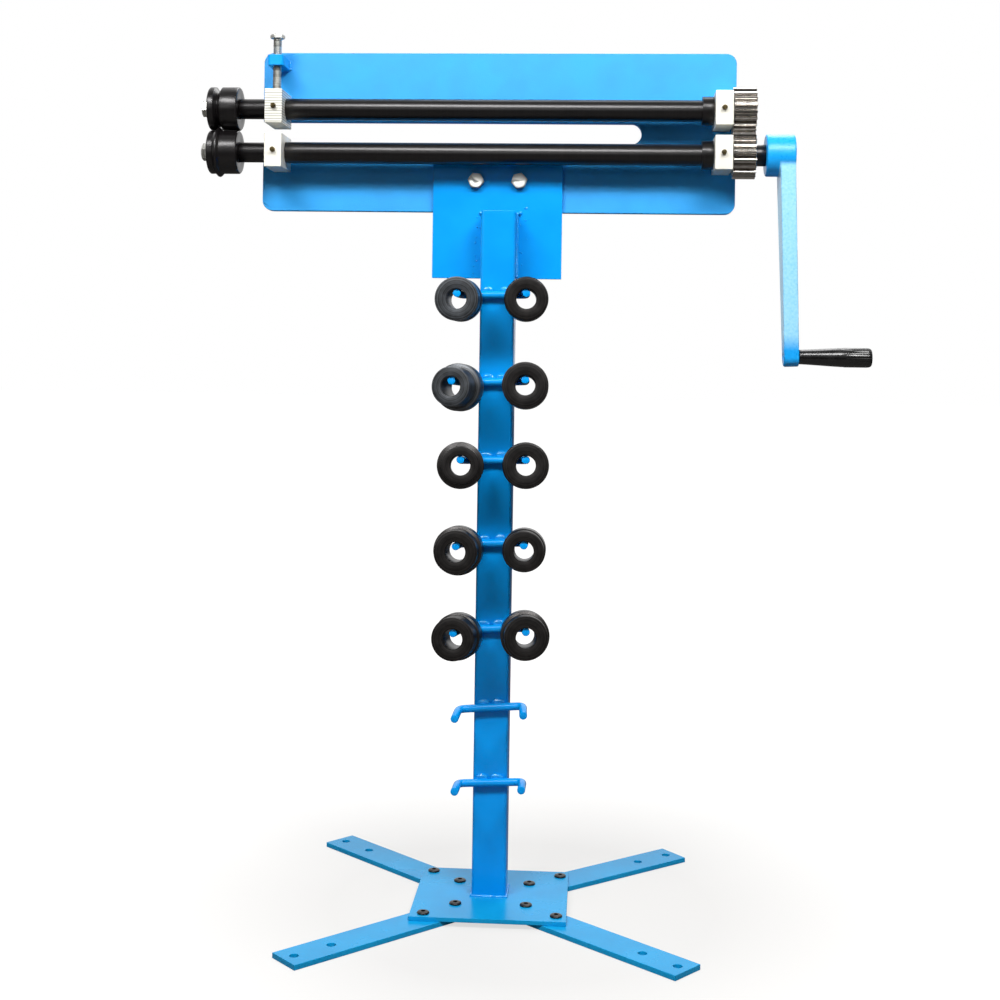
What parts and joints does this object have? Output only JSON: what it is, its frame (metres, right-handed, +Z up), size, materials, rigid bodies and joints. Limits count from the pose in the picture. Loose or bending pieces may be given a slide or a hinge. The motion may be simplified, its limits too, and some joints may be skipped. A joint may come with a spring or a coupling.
{
  "type": "bead roller",
  "caption": "Hand-cranked sheet-metal bead roller: geared shafts with forming dies in a deep-throated plate frame, on a floor stand with hooks of spare dies.",
  "frame": {"origin": "on the floor, below the middle of the whole outline", "axes": "+Z up, +X from the dies to the crank, -Y towards the person at the machine"},
  "size_m": [0.784, 0.4224, 1.0118],
  "materials": {
    "blue_paint": "azure powder coat, semi-gloss, slight orange peel",
    "hammered_blue": "azure paint on a rough casting",
    "black_oxide": "black oxide, satin",
    "bright_zinc": "bright zinc",
    "ground_steel": "bare milled steel",
    "gear_steel": "bare dark steel, oiled",
    "nipple_brass": "yellow zinc",
    "black_plastic": "glossy black"
  },
  "bodies": {
    "stand": {"post": "blue_paint", "base_plate": "blue_paint", "leg_front_left": "blue_paint", "leg_front_right": "blue_paint", "leg_rear_left": "blue_paint", "leg_rear_right": "blue_paint", "mount_plate": "blue_paint", "head_plate": "blue_paint", "adjuster_lug": "blue_paint", "hook_1": "blue_paint", "hook_2": "blue_paint", "hook_3": "blue_paint", "hook_4": "blue_paint", "hook_5": "blue_paint", "hook_6": "blue_paint", "hook_7": "blue_paint", "base_screw_front_left_1": "black_oxide", "base_screw_front_left_2": "black_oxide", "base_screw_front_right_1": "black_oxide", "base_screw_front_right_2": "black_oxide", "base_screw_rear_left_1": "black_oxide", "base_screw_rear_left_2": "black_oxide", "base_screw_rear_right_1": "black_oxide", "base_screw_rear_right_2": "black_oxide", "mount_bolt_left": "bright_zinc", "mount_bolt_right": "bright_zinc", "block_lower_die_end": "ground_steel", "block_lower_gear_end": "ground_steel", "nipple_lower_die_end": "nipple_brass", "nipple_lower_gear_end": "nipple_brass", "block_bolt_lower_die_end": "bright_zinc", "block_bolt_lower_gear_end": "bright_zinc"},
    "die_end_slider": {"block_upper_die_end": "ground_steel", "nipple_upper_die_end": "nipple_brass", "block_bolt_upper_die_end": "bright_zinc"},
    "adjusting_screw": {"adjusting_screw": "bright_zinc"},
    "gear_end_pivot": {"block_upper_gear_end": "ground_steel", "nipple_upper_gear_end": "nipple_brass", "block_bolt_upper_gear_end": "bright_zinc"},
    "upper_arbor": {"shaft_upper": "black_oxide", "die_upper": "black_oxide", "die_bolt_upper": "bright_zinc", "gear_upper": "gear_steel"},
    "lower_arbor": {"shaft_lower": "black_oxide", "die_lower": "black_oxide", "die_bolt_lower": "bright_zinc", "gear_lower": "gear_steel", "crank_arm": "hammered_blue", "grip_spindle": "bright_zinc"},
    "grip": {"grip": "black_plastic"},
    "spare_die_1_left": {"spare_die_1_left": "black_oxide"},
    "spare_die_1_right": {"spare_die_1_right": "black_oxide"},
    "spare_die_2_left": {"spare_die_2_left": "black_oxide"},
    "spare_die_2_right": {"spare_die_2_right": "black_oxide"},
    "spare_die_3_left": {"spare_die_3_left": "black_oxide"},
    "spare_die_3_right": {"spare_die_3_right": "black_oxide"},
    "spare_die_4_left": {"spare_die_4_left": "black_oxide"},
    "spare_die_4_right": {"spare_die_4_right": "black_oxide"},
    "spare_die_5_left": {"spare_die_5_left": "black_oxide"},
    "spare_die_5_right": {"spare_die_5_right": "black_oxide"}
  },
  "joints": [
    {"name": "die_gap_slide", "type": "slide", "parent": "stand", "child": "die_end_slider", "axis": [0, 0, 1], "range_m": [0, 0.008]},
    {"name": "adjusting_screw_turn", "type": "hinge", "parent": "die_end_slider", "child": "adjusting_screw", "pos_m": [-0.30428, 0.00904, 0.96], "axis": [0, 0, 1], "range_deg": [0, 1920.5]},
    {"name": "gear_end_tilt", "type": "hinge", "parent": "stand", "child": "gear_end_pivot", "pos_m": [0.21837, 0.00904, 0.9242], "axis": [0, 1, 0], "range_deg": [0, 0.8805]},
    {"name": "lower_arbor_spin", "type": "hinge", "parent": "stand", "child": "lower_arbor", "pos_m": [0, 0.00904, 0.8731], "axis": [1, 0, 0], "continuous": true},
    {"name": "upper_arbor_spin", "type": "hinge", "parent": "gear_end_pivot", "child": "upper_arbor", "pos_m": [0, 0.00904, 0.9242], "axis": [1, 0, 0], "continuous": true},
    {"name": "grip_spin", "type": "hinge", "parent": "lower_arbor", "child": "grip", "pos_m": [0.35, 0.00904, 0.6408], "axis": [1, 0, 0], "continuous": true},
    {"name": "spare_die_1_left_off", "type": "slide", "parent": "stand", "child": "spare_die_1_left", "axis": [-0.0524, -0.9986, 0.0082], "range_m": [0, 0.055]},
    {"name": "spare_die_1_right_off", "type": "slide", "parent": "stand", "child": "spare_die_1_right", "axis": [0.0522, -0.9986, 0.0093], "range_m": [0, 0.055]},
    {"name": "spare_die_2_left_off", "type": "slide", "parent": "stand", "child": "spare_die_2_left", "axis": [-0.2267, -0.9721, 0.06], "range_m": [0, 0.055]},
    {"name": "spare_die_2_right_off", "type": "slide", "parent": "stand", "child": "spare_die_2_right", "axis": [0.033, -0.9971, 0.0689], "range_m": [0, 0.055]},
    {"name": "spare_die_3_left_off", "type": "slide", "parent": "stand", "child": "spare_die_3_left", "axis": [0.0685, -0.9944, 0.0811], "range_m": [0, 0.055]},
    {"name": "spare_die_3_right_off", "type": "slide", "parent": "stand", "child": "spare_die_3_right", "axis": [0.0336, -0.9962, 0.0807], "range_m": [0, 0.055]},
    {"name": "spare_die_4_left_off", "type": "slide", "parent": "stand", "child": "spare_die_4_left", "axis": [-0.0367, -0.998, 0.0511], "range_m": [0, 0.055]},
    {"name": "spare_die_4_right_off", "type": "slide", "parent": "stand", "child": "spare_die_4_right", "axis": [0.0191, -0.9984, 0.053], "range_m": [0, 0.055]},
    {"name": "spare_die_5_left_off", "type": "slide", "parent": "stand", "child": "spare_die_5_left", "axis": [-0.1247, -0.9901, 0.0641], "range_m": [0, 0.055]},
    {"name": "spare_die_5_right_off", "type": "slide", "parent": "stand", "child": "spare_die_5_right", "axis": [0.0929, -0.993, 0.0734], "range_m": [0, 0.055]}
  ],
  "couplings": [
    {"joint": "adjusting_screw_turn", "follows": "die_gap_slide", "rad_per_m": 4188.8},
    {"joint": "gear_end_tilt", "follows": "die_gap_slide", "rad_per_m": 1.9199},
    {"joint": "upper_arbor_spin", "follows": "lower_arbor_spin", "ratio": -1}
  ]
}
